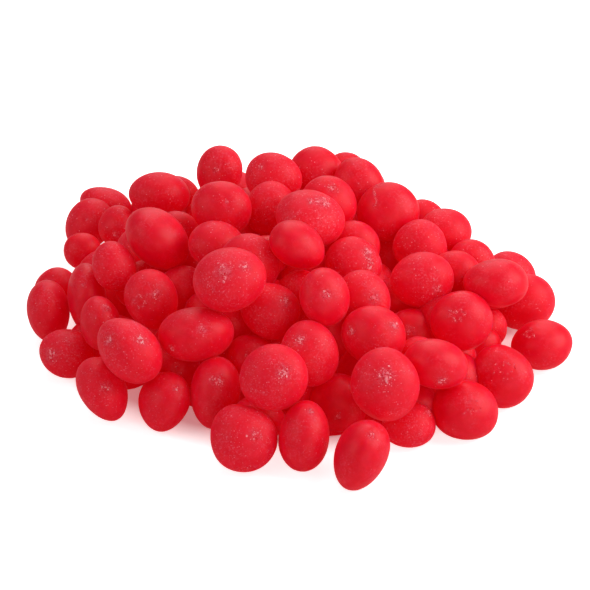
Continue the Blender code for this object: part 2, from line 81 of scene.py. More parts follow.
# %% Rows: candies in the open
SEEN_ROWS = {
    "crest": [
        (8.2, 20.1, 6.9, 6.5, 0), (21.1, 12.1, 7.2, 6.9, -10), (-19.3, 16.0, 7.5, 6.9, 0),
        (-30.9, 14.7, 8.8, 5.9, -17), (-12.3, 20.1, 8.8, 7.5, 80), (3.4, 19.8, 9.2, 8.8, 0),
        (10.4, 18.1, 9.0, 8.3, -60), (-3.6, 19.0, 9.3, 8.5, -10),
    ],
    "behind the crest's front row": [
        (5.6, 14.9, 9.3, 8.8, -10), (9.6, 8.0, 8.5, 8.2, -20), (15.2, 13.6, 10.1, 10.0, 0),
        (24.7, 10.6, 8.5, 7.0, -12), (28.9, 5.4, 7.8, 7.2, -15),
        (35.1, 3.1, 8.5, 7.8, -20, ON_FLOOR),
    ],
    "left shoulder": [
        (-38.9, 1.3, 7.2, 6.5, 0, ON_FLOOR), (-33.7, 11.6, 8.8, 7.5, 60),
        (-29.1, 11.3, 6.9, 5.9, 80), (-34.8, 7.2, 6.2, 5.9, 0), (-22.2, 16.3, 10.1, 7.4, -6),
    ],
    "upper face": [
        (-4.1, 14.2, 8.8, 8.2, 60), (-12.1, 14.1, 10.1, 9.2, -20), (-19.3, 10.5, 7.2, 6.5, 0),
        (2.5, 12.4, 11.6, 9.5, -15), (9.6, 5.1, 9.6, 8.5, -15), (20.6, 7.7, 9.3, 8.8, -50),
        (26.3, 3.6, 8.2, 7.4, -20), (20.8, 2.5, 10.3, 9.3, 0),
    ],
    "middle face": [
        (0.7, 0.8, 7.2, 6.5, 0), (-12.7, 8.3, 9.3, 7.7, -5), (-7.4, 5.2, 10.1, 9.5, -30),
        (0.4, 8.2, 9.5, 7.5, -32), (-4.0, -2.5, 10.1, 9.3, -30), (-10.7, 2.6, 12.1, 10.5, 15),
    ],
    "left face": [
        (-34.0, -0.3, 11.4, 6.5, -87), (-29.6, 4.7, 8.3, 7.2, -70),
        (-40.3, -2.6, 10.3, 6.9, -85, ON_FLOOR), (-22.5, 9.3, 11.8, 8.8, -42),
        (-31.7, -4.6, 9.2, 6.7, -78), (-23.4, -0.7, 10.1, 8.7, -72),
        (-37.4, -9.5, 9.2, 8.0, -10, ON_FLOOR), (-31.5, -15.4, 11.1, 7.7, -62, ON_FLOOR),
        (-21.3, -17.4, 10.0, 8.3, 75, ON_FLOOR), (-27.1, -9.0, 12.3, 9.0, -44),
        (-16.1, -6.4, 12.6, 9.0, 3),
    ],
    "centre face": [
        (11.1, -0.7, 9.8, 9.2, -40), (4.9, -0.3, 9.8, 8.2, -80), (12.7, -6.6, 10.8, 9.8, -25),
        (2.4, -9.5, 10.8, 9.6, -70), (-3.4, -13.4, 11.6, 11.1, 20),
    ],
    "right face": [
        (37.5, -1.2, 10.1, 9.2, 30, ON_FLOOR), (31.5, -5.2, 6.9, 6.2, 90, ON_FLOOR),
        (32.8, 2.0, 10.5, 7.8, -3), (40.4, -8.2, 10.0, 8.3, 5, ON_FLOOR),
        (33.7, -13.2, 10.8, 10.0, -60, ON_FLOOR), (27.1, -4.2, 10.3, 9.8, 0),
        (18.6, -21.1, 9.0, 7.4, 10, ON_FLOOR), (27.8, -18.8, 11.1, 9.8, -15, ON_FLOOR),
        (20.4, -10.3, 7.2, 6.9, 0), (22.9, -11.3, 10.8, 8.0, -15), (14.8, -14.6, 12.1, 11.4, 80),
    ],
    "front foot": [
        (-13.2, -16.0, 11.8, 8.2, 85, ON_FLOOR), (-8.5, -23.4, 11.4, 10.9, -60, ON_FLOOR),
        (1.5, -23.1, 11.4, 8.5, 85, ON_FLOOR), (10.9, -26.0, 12.1, 8.5, 66, ON_FLOOR),
    ],
}

# Spots on the view plane where the surface shows between candies: (across, up, radius).
FLOOR_SPOTS = [(-36.8, -4.4, 1.2), (34.6, -7.0, 0.8), (22.1, -17.6, 0.8)]
print("rows:", len(GAP_ROWS), "in gaps and", sum(map(len, SEEN_ROWS.values())), "in the open")

# %% [markdown]
# ## From a flat picture to a heap
#
# A row fixes a line of sight, but not how far along it the candy lies. Three facts settle that.
# A candy's outline tells its tilt, because a flattened pebble looks narrower the more it is turned
# away. A heap has a skin, rounded at the top and falling to a round foot, near which all the outer
# candies lie. And candies can't overlap, so each is slid along its own line of sight until it just
# rests against its neighbours.

# %% The candy and the heap, in millimetres
FLATNESS = 0.74                   # thickness of a candy over its length
BREADTH = 0.90                    # its second width over the length, where the view hides it
PEAK = np.array([0.0, 14.0])      # plan place of the heap's top
MIDDLE = np.array([0.0, 3.5])     # plan centre of the heap's foot
FOOT_RADIUS = 42.0                # of the outermost candies' centres
TOP_HIGH = 22.0                   # height of the candies' centres at the top
FOOT_HIGH = 4.2                   # and at the foot
SKIN_POWER = 1.6                  # how rounded the top is: 1 is a cone
GAP_DEPTH = 4.0                   # how far the candies seen in the gaps lie under the others
BITE = 0.015                      # share of their touching distance that two candies may overlap

# Sliding along the sight lines.
SLIDES = 600                      # steps
SLIDE_REACH = (0.88, 1.14)        # nearest and furthest trial depth, over the eye's distance
SLIDE_STEP = 0.0005               # between trial depths, the same way
ASIDE = 0.95                      # share of a touch, past which two candies may swap their order
PULL = 0.02                       # pull back toward where a candy began, in one step
LAST_PULL = 0.002                 # and in the last steps
LAST_STEPS = 0.85                 # share of the steps before those

# Pressing candies apart.
FIRST_PRESSES = 150               # steps for the rows' candies alone
PRESSES = 120                     # steps in each later round
PRESS = 0.6                       # share of an overlap that one step takes out
SIDEWAYS = (0.4, 0.2)             # share of a push across the sight line: on the floor, and above
HOMING = 0.12                     # pull of a candy in the open back to its sight line
SKIN_SLACK = 0.5                  # how far the others may rise over the skin

# The candies that can't be seen from the front.
HIDDEN_ROUNDS = 4                 # how often the heap is filled and settled
HIDDEN_STEP = 1.7                 # grid of trial places
HIDDEN_LAYER = 1.4                # height between the grid's layers
HIDDEN_MARGINS = (3, 8)           # how far the grid goes past the foot radius, low and high
HIDDEN_LEVELS = (-0.7, 1.0)       # lowest layer from FOOT_HIGH, and highest from TOP_HIGH
HIDDEN_SHAKE = 0.8                # shaking of a trial place, each way
HIDDEN_TILT = 0.5                 # how much a candy may lean: 0 is flat
HIDDEN_FIT = 0.78                 # share of the touching distance at which a candy still goes in
HIDDEN_NEAR = 13                  # distance within which two candies could touch
HIDDEN_SIZE = (8.4, 10.2)         # smallest and largest size
HIDDEN_RATIO = ((1.0, 0.9, 0.72), (1.14, 1.0, 0.8))   # length, width and thickness over the size
HIDDEN_UNDER = -0.3               # least depth under the skin
HIDDEN_DEPTH = 11.0               # and greatest
SEED = 11


# %% Small helpers
def unit(v):
    """The vectors in v, each brought to length one."""
    return v / np.linalg.norm(v, axis=-1, keepdims=True)


def sight(across, up, length, width, turn, on_floor=False):
    """Line of sight, axes (as rows) and half sizes of one row's candy.

    Seen face on, a candy is as wide as its second width. The narrower it looks, the further its
    flat side is turned away, and the flat side leans upward."""
    ray = unit(AIM + across * RIGHT + up * UP - EYE)
    right = unit(np.cross(UP, -ray))
    over = np.cross(-ray, right)
    angle = math.radians(turn)
    along = math.cos(angle) * right + math.sin(angle) * over
    beside = math.cos(angle) * over - math.sin(angle) * right
    second = max(width, BREADTH * length)
    thick = min(width, FLATNESS * length)
    lean = math.asin(math.sqrt((second**2 - width**2) / (second**2 - thick**2)))
    if beside[2] < 0:
        beside = -beside
    flat = math.cos(lean) * -ray + math.sin(lean) * beside
    return ray, np.array([along, np.cross(flat, along), flat]), np.array([length, second, thick]) / 2


# %% The heap's skin
def skin_height(place):
    """Height of the skin that candy centres keep to: rounded over PEAK, falling to a round foot."""
    off = place[..., :2] - PEAK
    far = np.linalg.norm(off, axis=-1) + 1e-9
    lead = (off / far[..., None]) @ (PEAK - MIDDLE)
    rim = -lead + np.sqrt(lead**2 - (PEAK - MIDDLE) @ (PEAK - MIDDLE) + FOOT_RADIUS**2)
    return FOOT_HIGH + (TOP_HIGH - FOOT_HIGH) * (1 - np.clip(far / rim, 0, 1.3) ** SKIN_POWER)


# %% Touching distance of two candies
def half_extent(axes, half, way):
    """How far each candy reaches from its centre along the direction way."""
    return np.sqrt(((axes @ way * half) ** 2).sum(-1))


def reach(axes, half, way):
    """Touching radius toward way: the mean of the candy's surface and its tangent plane."""
    local = np.einsum("...ab,...b->...a", axes, way)
    surface = 1 / np.sqrt(((local / half) ** 2).sum(-1))
    tangent = np.sqrt(((local * half) ** 2).sum(-1))
    return (surface + tangent) / 2


def pairs(place, axes, half):
    """For every two candies: the vector between them, its length, and the length at a touch."""
    apart = place[None] - place[:, None]
    dist = np.linalg.norm(apart, axis=2) + np.eye(len(place))
    way = apart / dist[..., None] + np.eye(len(place))[..., None] * RIGHT
    touch = reach(axes[:, None], half[:, None], way)
    return apart, dist, (touch + touch.T) * (1 - BITE)


# %% Slide the rows' candies into place
def lay_seen(rows, in_gap):
    """Slide the candies along their lines of sight until all of them fit.

    One on the floor lies where its lowest point meets the surface. The others start on the skin,
    or under it in a gap. Where two would overlap, the nearer one moves toward the eye and the
    further one away from it; one in a gap always gives way to one in the open."""
    sights = [sight(*row) for row in rows]
    rays, axes, half = (np.array([s[k] for s in sights]) for k in range(3))
    floor = np.array([len(row) == 6 for row in rows])
    steep = -(rays @ TOWARD)

    depths = np.arange(*SLIDE_REACH, SLIDE_STEP) * EYE_FAR
    trial = EYE + depths[:, None, None] * rays
    low = trial[..., 2] - half_extent(axes, half, ZED) * depths[:, None] * steep / EYE_FAR
    lowest = depths[(low <= 0).argmax(0)]
    over = trial[..., 2] - skin_height(trial) + np.where(in_gap, GAP_DEPTH, 0)
    over[low < 0] = EYE_FAR
    start = np.where((over <= 0).any(0), (over <= 0).argmax(0), over.argmin(0))
    goal = np.where(floor, lowest, np.minimum(depths[start], lowest))

    give = np.where(floor, 0.0, 1.0)
    share = give[:, None] / np.maximum(give[:, None] + give, 1e-9)
    share[np.ix_(in_gap, ~in_gap)] = 1.0
    share[np.ix_(~in_gap, in_gap)] = 0.0
    depth = goal.copy()
    for step in range(SLIDES):
        place = EYE + depth[:, None] * rays
        apart, dist, touch = pairs(place, axes, half * (depth * steep / EYE_FAR)[:, None])
        along = apart @ TOWARD
        beside = np.sqrt(np.maximum(dist**2 - along**2, 0))
        need = np.sqrt(np.maximum(touch**2 - beside**2, 0))
        order = np.where((beside < ASIDE * touch) | (along >= 0), 1.0, -1.0)
        lack = np.triu(np.where(beside < touch, np.maximum(need - order * along, 0), 0), 1)
        push = order * lack
        count = np.maximum((lack * share > 0).sum(1) + (lack * share.T > 0).sum(0), 1)
        pull = PULL if step < LAST_STEPS * SLIDES else LAST_PULL
        depth += ((push * share).sum(1) - (push * share.T).sum(0)) / count
        depth = np.where(floor, lowest, np.minimum(depth + pull * (goal - depth), lowest))
    return EYE + depth[:, None] * rays, axes, half * (depth * steep / EYE_FAR)[:, None], rays, floor


# %% Press them apart
def settle(place, axes, half, rays, floor, rank, steps):
    """Press overlapping candies apart. The lower rank gives way, and equals share the push.

    Those of rank 2, in the open, keep near their line of sight. The others stay under the skin and
    inside the foot."""
    home = place.copy()
    low = half_extent(axes, half, ZED)
    seen = (rank == 2)[:, None]
    share = np.where(rank[:, None] < rank, 1.0, np.where(rank[:, None] > rank, 0.0, 0.5))
    sideways = np.where(floor, *SIDEWAYS)[:, None]
    for _ in range(steps):
        apart, dist, touch = pairs(place, axes, half)
        press = np.maximum(touch - dist, 0)
        np.fill_diagonal(press, 0)
        move = -PRESS * ((share * press / dist)[..., None] * apart).sum(1)
        on_ray = (move * rays).sum(1, keepdims=True) * rays
        place = place + np.where(seen, on_ray + sideways * (move - on_ray), move)
        off = place - home
        off -= (off * rays).sum(1, keepdims=True) * rays
        place -= np.where(seen, HOMING * off, 0)
        off = place[:, :2] - MIDDLE
        spread = np.maximum(np.linalg.norm(off, axis=1, keepdims=True) / FOOT_RADIUS, 1)
        place[:, :2] = np.where(seen, place[:, :2], MIDDLE + off / spread)
        top = skin_height(place) + SKIN_SLACK
        held = np.where(rank < 2, np.minimum(place[:, 2], top), place[:, 2])
        place[:, 2] = np.where(floor, low, np.maximum(held, low))
    return place


# %% [markdown]
# ## The candies that the eye can't see
#
# From behind, the heap must be as full as from the front. The rest is filled from the floor up with
# candies at random, like pouring them in, and each is kept only where it fits and where the eye
# would not notice it. A fixed seed makes the heap the same each time.

# %% What the eye sees of a candy
def on_view_plane(place, axes, half):
    """Centres of candies on the view plane, their outlines there, and their nearness to the eye.

    An outline is a 2 by 3 matrix that takes a unit ball to the ellipse."""
    from_eye = place - EYE
    near = from_eye @ TOWARD
    scale = -EYE_FAR / near
    plane = np.stack([RIGHT, UP], 1)
    shape = np.swapaxes((axes @ plane) * half[:, :, None], 1, 2) * scale[:, None, None]
    return (from_eye @ plane) * scale[:, None], shape, near


def covered(points, seen_view):
    """Nearness of the front candy of seen_view at each point, or -inf where there is none."""
    centre, shape, near = seen_view
    inverse = np.linalg.inv(shape @ np.swapaxes(shape, 1, 2))
    off = points[:, None] - centre
    inside = np.einsum("pna,nab,pnb->pn", off, inverse, off) < 1
    return np.where(inside, near, -np.inf).max(1)


def heap_outline(seen_view):
    """Across, highest and lowest places of the seen candies on the view plane."""
    centre, shape, _ = seen_view
    wide, high = np.sqrt((shape**2).sum(2)).T
    across = np.arange(-50.0, 50.0, 0.5)
    inside = np.sqrt(np.maximum(1 - ((across[:, None] - centre[:, 0]) / wide) ** 2, 0)) * high
    top = np.where(inside > 0, centre[:, 1] + inside, -EYE_FAR).max(1)
    bottom = np.where(inside > 0, centre[:, 1] - inside, EYE_FAR).min(1)
    return across, top, bottom


# %% Which candies stay hidden
def stays_hidden(place, axes, half, seen_view, depth=1.0, margin=0.4):
    """Which candies the eye doesn't notice: behind seen ones, or deep in a gap between them.

    Each outline is tested at its centre, on two rings and round its rim. Beyond the share depth of
    its radius it may come out in front of a seen one. The heap's outline lies at least margin
    outside it."""
    outer = heap_outline(seen_view)
    centre, shape, near = on_view_plane(place, axes, half)
    root = np.linalg.cholesky(shape @ np.swapaxes(shape, 1, 2))
    turns = np.arange(12) * math.tau / 12
    rim = np.stack([np.cos(turns), np.sin(turns)], 1)
    hidden = np.ones(len(place), bool)
    for way in np.vstack([np.zeros((1, 2)), rim * 0.5, rim * 0.8, rim]):
        point = centre + root @ way
        front = covered(point, seen_view)
        top, bottom = (np.interp(point[:, 0], outer[0], edge) for edge in outer[1:])
        clear = (point[:, 1] < top - margin) & (point[:, 1] > bottom + margin)
        for across, up, radius in FLOOR_SPOTS:
            clear &= np.hypot(point[:, 0] - across, point[:, 1] - up) > radius
        deep = (front > near) | (np.linalg.norm(way) > depth)
        hidden &= np.where(np.isinf(front), clear, deep)
    return hidden


# %% Fill the heap
def fill_hidden(rng, place, axes, half, seen_count, fit=HIDDEN_FIT, under=HIDDEN_UNDER):
    """Add candies to the rest of the heap, from the floor up, where the eye doesn't see them.

    Trial places stand on a shaken grid, each with a candy that lies nearly flat. One is kept where
    it fits among the others, under the skin, and stays hidden."""
    grid = np.arange(-FOOT_RADIUS - HIDDEN_MARGINS[0], FOOT_RADIUS + HIDDEN_MARGINS[1], HIDDEN_STEP)
    levels = np.arange(FOOT_HIGH + HIDDEN_LEVELS[0], TOP_HIGH + HIDDEN_LEVELS[1], HIDDEN_LAYER)
    spot = np.stack(np.meshgrid(grid, grid, levels, indexing="ij"), -1).reshape(-1, 3)
    spot = spot + rng.uniform(-HIDDEN_SHAKE, HIDDEN_SHAKE, spot.shape)
    below = skin_height(spot) - spot[:, 2]
    spot = spot[(np.linalg.norm(spot[:, :2] - MIDDLE, axis=1) < FOOT_RADIUS)
                & (below > under) & (below < HIDDEN_DEPTH)]
    count = len(spot)
    flat = unit(ZED + HIDDEN_TILT * rng.normal(size=(count, 3)))
    first = unit(np.cross(flat, rng.normal(size=(count, 3))))
    turned = np.stack([first, np.cross(flat, first), flat], 1)
    ratio = rng.uniform(*HIDDEN_RATIO, (count, 3))
    sizes = ratio * rng.uniform(*HIDDEN_SIZE, count)[:, None] / 2
    spot[:, 2] = np.maximum(spot[:, 2], half_extent(turned, sizes, ZED))

    seen_view = on_view_plane(place[:seen_count], axes[:seen_count], half[:seen_count])
    order = np.flatnonzero(stays_hidden(spot, turned, sizes, seen_view))
    order = order[np.argsort(spot[order, 2].round() + rng.uniform(0, 0.5, len(order)))]
    for k in order:
        apart = place - spot[k]
        dist = np.linalg.norm(apart, axis=1)
        near = np.flatnonzero(dist < HIDDEN_NEAR)
        way = apart[near] / dist[near, None]
        touch = reach(axes[near], half[near], way) + reach(turned[k], sizes[k], way)
        if len(near) and (dist[near] > fit * touch).all():
            place = np.append(place, spot[k][None], 0)
            axes = np.append(axes, turned[k][None], 0)
            half = np.append(half, sizes[k][None], 0)
    return place, axes, half


# %% Lay the heap
def lay_heap():
    """Lay all candies. Returns their centres, axes and half sizes, which of them are in the rows
    above, and the middle of their box.

    The centres are measured from that middle, at the level of the surface."""
    rows = GAP_ROWS + [row for course in SEEN_ROWS.values() for row in course]
    rank = np.where(np.arange(len(rows)) < len(GAP_ROWS), 1, 2)
    place, axes, half, rays, floor = lay_seen(rows, rank == 1)
    place = settle(place, axes, half, rays, floor, rank, FIRST_PRESSES)
    rng = np.random.default_rng(SEED)
    for _ in range(HIDDEN_ROUNDS):
        place, axes, half = fill_hidden(rng, place, axes, half, len(rows))
        added = len(place) - len(rank)
        rays = np.append(rays, np.repeat(-TOWARD[None], added, 0), 0)
        floor = np.append(floor, np.zeros(added, bool))
        rank = np.append(rank, np.zeros(added, int))
        place = settle(place, axes, half, rays, floor, rank, PRESSES)
        seen_view = on_view_plane(place[rank > 0], axes[rank > 0], half[rank > 0])
        keep = (rank > 0) | stays_hidden(place, axes, half, seen_view, depth=0.7, margin=0.0)
        place, axes, half, rays, floor, rank = (
            values[keep] for values in (place, axes, half, rays, floor, rank))
    ends = np.stack([half_extent(axes, half, way) for way in np.eye(3)], 1)
    middle = ((place - ends).min(0) + (place + ends).max(0)) / 2
    middle[2] = 0.0
    return place - middle, axes, half, rank > 0, middle


place, axes, half, shown, middle = lay_heap()
ends = np.stack([half_extent(axes, half, way) for way in np.eye(3)], 1)
print("candies:", len(place), "of which in the rows:", int(shown.sum()))
print("laid heap, mm:", ((place + ends).max(0) - (place - ends).min(0)).round(1))

# %% [markdown]
# ## The bed
#
# Between the outer candies one looks a little way into the heap, from behind and from above too.
# A bed of deeper candies fills those gaps. They are laid by the same rule as the hidden ones, but
# aren't pressed apart, so they run into the candies beside them. Most of that is out of sight. The
# first two lie on the table, low in gaps that show from the front.

# %% Lay the bed
BED_FIT = 0.66                    # share of the touching distance at which a candy still goes in
BED_UNDER = 4.0                   # least depth under the skin
BED_SEED = 9
BED_ROWS = [(-33.4, -7.2, 7.2, 6.6, 0), (30.0, -8.2, 7.2, 6.6, 0)]

laid = len(place)
rays, bed_axes, bed_half = (np.array(values) for values in zip(*(sight(*row) for row in BED_ROWS)))
depth = (half_extent(bed_axes, bed_half, ZED) - EYE[2]) / rays[:, 2]
place = np.vstack([place + middle, EYE + depth[:, None] * rays])
axes, half = np.vstack([axes, bed_axes]), np.vstack([half, bed_half])
place, axes, half = fill_hidden(np.random.default_rng(BED_SEED), place, axes, half,
                                int(shown.sum()), BED_FIT, BED_UNDER)
place = place - middle
shown = np.append(shown, np.zeros(len(place) - laid, bool))
print("candies in the bed:", len(place) - laid)

# %% [markdown]
# ## The candy's surface
#
# A ball of unit directions q is stretched to the candy's three half sizes, and three things make it
# a real sweet. One end is a little thicker than the other. Long, weak waves dent and swell it, for
# no drum rolls a candy truly even. And where it stuck to a neighbour it is pressed a little flat and
# has a patch of small pits. Each is a function of q alone, so a mesh can be as fine as needed, and a
# sugar grain can be set on exactly the same surface.

# %% Waves over the surface
SHRINK = 0.992                    # keeps every bump inside the solid's box
EGG = 0.08                        # how much thicker one end may be
SWELL = 0.028                     # height of the long waves, over the half size
LONG_WAVES = (7, 1.8, 4.2)        # their number, and the range of radians in one half size
GRAIN = 0.0018                    # height of the skin's fine waves, over the half size
FINE_WAVES = (16, 14, 34)         # their number and range, as above
PIT = 0.13                        # depth of a patch's pits, in millimetres
PIT_WAVES = (24, 9, 19)           # number of waves in them, and range of radians in a millimetre
FLAT = 0.18                       # how far a candy is flattened where it lay against another
SMALL_MARK = 0.30                 # radius of the dots that make up a scar or a ring of pits
CANDY_LOWEST = 0.05               # height over the table that every point keeps
FORM_SEED = 1000                  # for the first candy, one more for each that follows


def waves(at, count, low, high, rng):
    """Sum of count cosine waves of random direction and phase, from low to high radians a unit of
    length, scaled so that it mostly stays between -1 and 1."""
    ways = unit(rng.normal(size=(count, 3))) * rng.uniform(low, high, (count, 1))
    return np.cos(at @ ways.T + rng.uniform(0, math.tau, count)).sum(1) * math.sqrt(2 / count) / 1.6


def candy_surface(k, marks):
    """The surface of candy k as a function of unit directions q: its points, and how rough it is.

    point = place + axes * (half * q * (1 + long waves + fine waves)), with the two cross widths
    grown toward one end. Round a mark the surface is pressed flat by FLAT, and inside it pits of
    PIT are pressed in. Roughness is 1 in a mark and falls to 0 over its edge."""
    def surface(q):
        """Points and roughness at the directions q."""
        rng = np.random.default_rng(FORM_SEED + k)
        egg = EGG * rng.uniform(-1, 1)
        height = SWELL * waves(q, *LONG_WAVES, rng) + GRAIN * waves(q, *FINE_WAVES, rng)
        local = half[k] * q * (1 + height)[:, None]
        local[:, 1:] *= 1 + egg * q[:, :1]
        pits = np.maximum(waves(local, *PIT_WAVES, rng), 0)
        rough = np.zeros(len(q))
        pressed = np.zeros(len(q))
        for pole, radius in marks:
            off = np.linalg.norm(half[k] * (q - pole), axis=1) / radius
            rough = np.maximum(rough, np.exp(-off**3))
            if radius > SMALL_MARK:
                pressed = np.maximum(pressed, np.exp(-(off / 2)**2))
        local -= unit(q / half[k]) * (PIT * rough * pits + FLAT * pressed)[:, None]
        points = (place[k] + local @ axes[k]) * SHRINK
        points[:, 2] = np.maximum(points[:, 2], CANDY_LOWEST)
        return points, rough
    return surface


# %% [markdown]
# ## The rough marks
#
# On the real heap most candies show such a mark, a millimetre or two across. Those that show from
# the front are listed by their place on the view plane and their radius. The line of sight through
# that place meets the nearest candy at the point where the mark goes. One long scar and a few open
# rings are each made of small dots, too small to press their candy flat. A candy out of sight that
# has fewer than two marks gets one at random, about the middle of a flat side, and a candy of the
# rows that has none gets a small one.

# %% Marks seen from the front
SEEN_MARKS = [
    (-5.6, 20.9, 0.6), (-12.9, 20.4, 0.7), (4.6, 15.5, 1.5), (2.6, 15.4, 0.8), (6.2, 17.6, 0.9),
    (11.9, 7.0, 1.3), (12.4, 4.7, 1.1), (5.1, 0.1, 1.0), (-1.5, -1.0, 1.1), (13.0, -0.4, 1.2),
    (-11.6, 3.8, 1.5), (-8.2, 4.9, 1.1), (8.9, -5.9, 1.0), (16.2, -5.2, 1.1), (0.7, -7.2, 1.1),
    (-15.2, -5.5, 0.8), (-20.2, -8.7, 0.6), (23.3, 0.8, 0.9), (14.8, -13.4, 1.5), (21.9, -19.1, 0.8),
    (23.9, -14.2, 1.1), (18.7, -5.8, 0.9), (-30.7, -1.9, 0.9), (-22.6, 0.2, 0.9),
    (-30.7, -7.3, 1.0), (-24.9, -7.2, 1.2), (-40.0, -9.8, 1.4),
    (-19.4, -15.1, 0.7), (-12.7, -13.9, 1.2), (-30.9, -15.0, 1.0), (-6.5, -22.8, 1.1),
    (-1.9, -12.6, 1.2), (2.6, -18.9, 0.8), (12.4, -22.9, 0.7), (5.3, 15.1, 0.9),
    (12.3, 5.9, 0.9), (11.7, 7.4, 0.8),
]


def first_met(across, up):
    """The candy that the line of sight through a place meets first, and the direction q there.

    In a candy's own ball space the sight line is start + t * way, and it meets the unit ball at the
    smaller root of |start + t * way| = 1."""
    ray = unit(AIM + across * RIGHT + up * UP - EYE)
    start = np.einsum("nab,nb->na", axes, EYE - middle - place) / half
    way = (axes @ ray) / half
    a, b, c = (way**2).sum(1), (way * start).sum(1), (start**2).sum(1) - 1
    inside = b**2 - a * c
    t = np.where(inside > 0, (-b - np.sqrt(np.maximum(inside, 0))) / a, np.inf)
    k = int(t.argmin())
    return k, unit(start[k] + t[k] * way[k])


# %% The scar and the rings, dot by dot
SCAR = [(13.6, 18.2), (12.8, 17.6), (12.9, 16.4), (13.2, 15.4), (13.0, 14.4)]
SCAR_DOTS = 17
SCAR_DOT = 0.8                    # size of a dot, over SMALL_MARK
# Rings: (across, up, radius, number of dots, size of a dot over SMALL_MARK).
RINGS = [(26.3, -3.3, 1.3, 13, 1.0), (38.3, -6.3, 0.9, 8, 1.0), (-25.3, -0.9, 1.4, 13, 1.0),
         (34.3, -12.2, 1.7, 17, 0.6), (28.6, -18.3, 1.5, 15, 0.6), (22.9, 3.6, 1.0, 3, 1.0)]
RING_BREADTH = (0.35, 1.1)        # nearest and furthest dot, over the ring's radius
RING_SEED = 6

rng = np.random.default_rng(RING_SEED)
bends = np.arange(len(SCAR))
for at in np.linspace(0, len(SCAR) - 1, SCAR_DOTS):
    across, up = (np.interp(at, bends, line) for line in zip(*SCAR))
    SEEN_MARKS.append((across, up, SCAR_DOT * SMALL_MARK))
for across, up, ring, dots, size in RINGS:
    for turn in (np.arange(dots) + rng.uniform(-0.5, 0.5, dots)) * math.tau / dots:
        far = ring * rng.uniform(*RING_BREADTH)
        SEEN_MARKS.append((across + far * math.cos(turn), up + far * math.sin(turn),
                           size * SMALL_MARK))
print("marks and dots seen from the front:", len(SEEN_MARKS))

# %% Every candy's marks
STUCK_MARKS = (0.7, 1.3)          # smallest and largest radius of a mark set at random
STUCK_SEEN = 0.5                  # its share of that on a candy of the rows that has no other
STUCK_STRAY = 0.45                # how far one strays from the middle of a flat side
STUCK_SEED = 5

marks = [[] for _ in place]
for across, up, radius in SEEN_MARKS:
    k, pole = first_met(across, up)
    marks[k].append((pole, radius))
rng = np.random.default_rng(STUCK_SEED)
for k, own in enumerate(marks):
    if len(own) < 2 and (not shown[k] or not own):
        side = np.array([0.0, 0.0, rng.choice([-1, 1])])
        pole = unit(side + STUCK_STRAY * rng.normal(size=3))
        own.append((pole, rng.uniform(*STUCK_MARKS) * (STUCK_SEEN if shown[k] else 1)))
print("marks:", sum(map(len, marks)), "on", len(marks), "candies")

# %% [markdown]
# ## From surface to mesh
#
# A globe has its finest quads at its poles. Each candy's globe is therefore turned so that a pole
# lies on its first mark, and its first rings are set closer together, which spends the mesh where
# the pits are. The poles are single points with a fan of triangles, so every candy is closed.

# %% A globe of directions round a pole
FINE = (60, 16, 28)               # quads round, rings across the mark, rings over the rest
PLAIN = (36, 8, 20)               # the same for candies at the back
DEEP = (28, 5, 16)                # and in the bed
MARK_REACH = 0.42                 # angle from the pole that the close rings cover
SKEW = np.array([0.31, 0.87, 0.38])   # a direction along which no pole lies


def ball_faces(around, rings):
    """Faces over rings of points between two poles: quads between rings, and fans at the poles.

    The points are the first pole, ring after ring, and the last pole."""
    here = np.arange(around)
    beyond = np.roll(here, -1)
    row = 1 + around * np.arange(rings - 1)[:, None]
    quads = np.stack([row + here, row + around + here, row + around + beyond, row + beyond], -1)
    last = 1 + around * rings
    start = last - around
    tips = np.vstack([np.stack([0 * here, 1 + here, 1 + beyond], 1),
                      np.stack([0 * here + last, start + beyond, start + here], 1)])
    return quads.reshape(-1, 4), tips


def globe(pole, fineness):
    """Directions q and faces of a globe with one pole at the direction given.

    q = cos(v) pole + sin(v) (cos(u) east + sin(u) north), with v from 0 to pi in two spacings and
    u once round."""
    around, close, wide = fineness
    v = np.concatenate([np.linspace(0, MARK_REACH, close, False)[1:],
                        np.linspace(MARK_REACH, math.pi, wide, False)])
    u = np.arange(around) * math.tau / around
    east = unit(np.cross(pole, SKEW))
    ring = np.cos(u)[:, None] * east + np.sin(u)[:, None] * np.cross(pole, east)
    rings = np.cos(v)[:, None, None] * pole + np.sin(v)[:, None, None] * ring
    directions = np.vstack([pole, rings.reshape(-1, 3), -pole])
    return directions, *ball_faces(around, len(v))


# %% Arrays to a mesh object
def make_piece(name, points, quads, tips=None, **values):
    """A smooth mesh object from arrays: points in millimetres, quads, triangles, and named values
    at the points."""
    tips = np.zeros((0, 3), int) if tips is None else tips
    mesh = bpy.data.meshes.new(name)
    mesh.vertices.add(len(points))
    mesh.vertices.foreach_set("co", (points * 0.001).astype(np.float32).ravel())
    sizes = np.concatenate([np.full(len(quads), 4), np.full(len(tips), 3)])
    mesh.loops.add(int(sizes.sum()))
    mesh.loops.foreach_set("vertex_index", np.concatenate([quads.ravel(), tips.ravel()]))
    mesh.polygons.add(len(sizes))
    mesh.polygons.foreach_set("loop_start", np.concatenate([[0], sizes.cumsum()[:-1]]))
    mesh.polygons.foreach_set("loop_total", sizes)
    mesh.update(calc_edges=True)
    mesh.shade_smooth()
    for kind, numbers in values.items():
        mesh.attributes.new(kind, "FLOAT", "POINT").data.foreach_set("value", numbers)
    piece = bpy.data.objects.new(name, mesh)
    bpy.context.scene.collection.objects.link(piece)
    print(name, "triangles:", int((sizes - 2).sum()))
    return piece


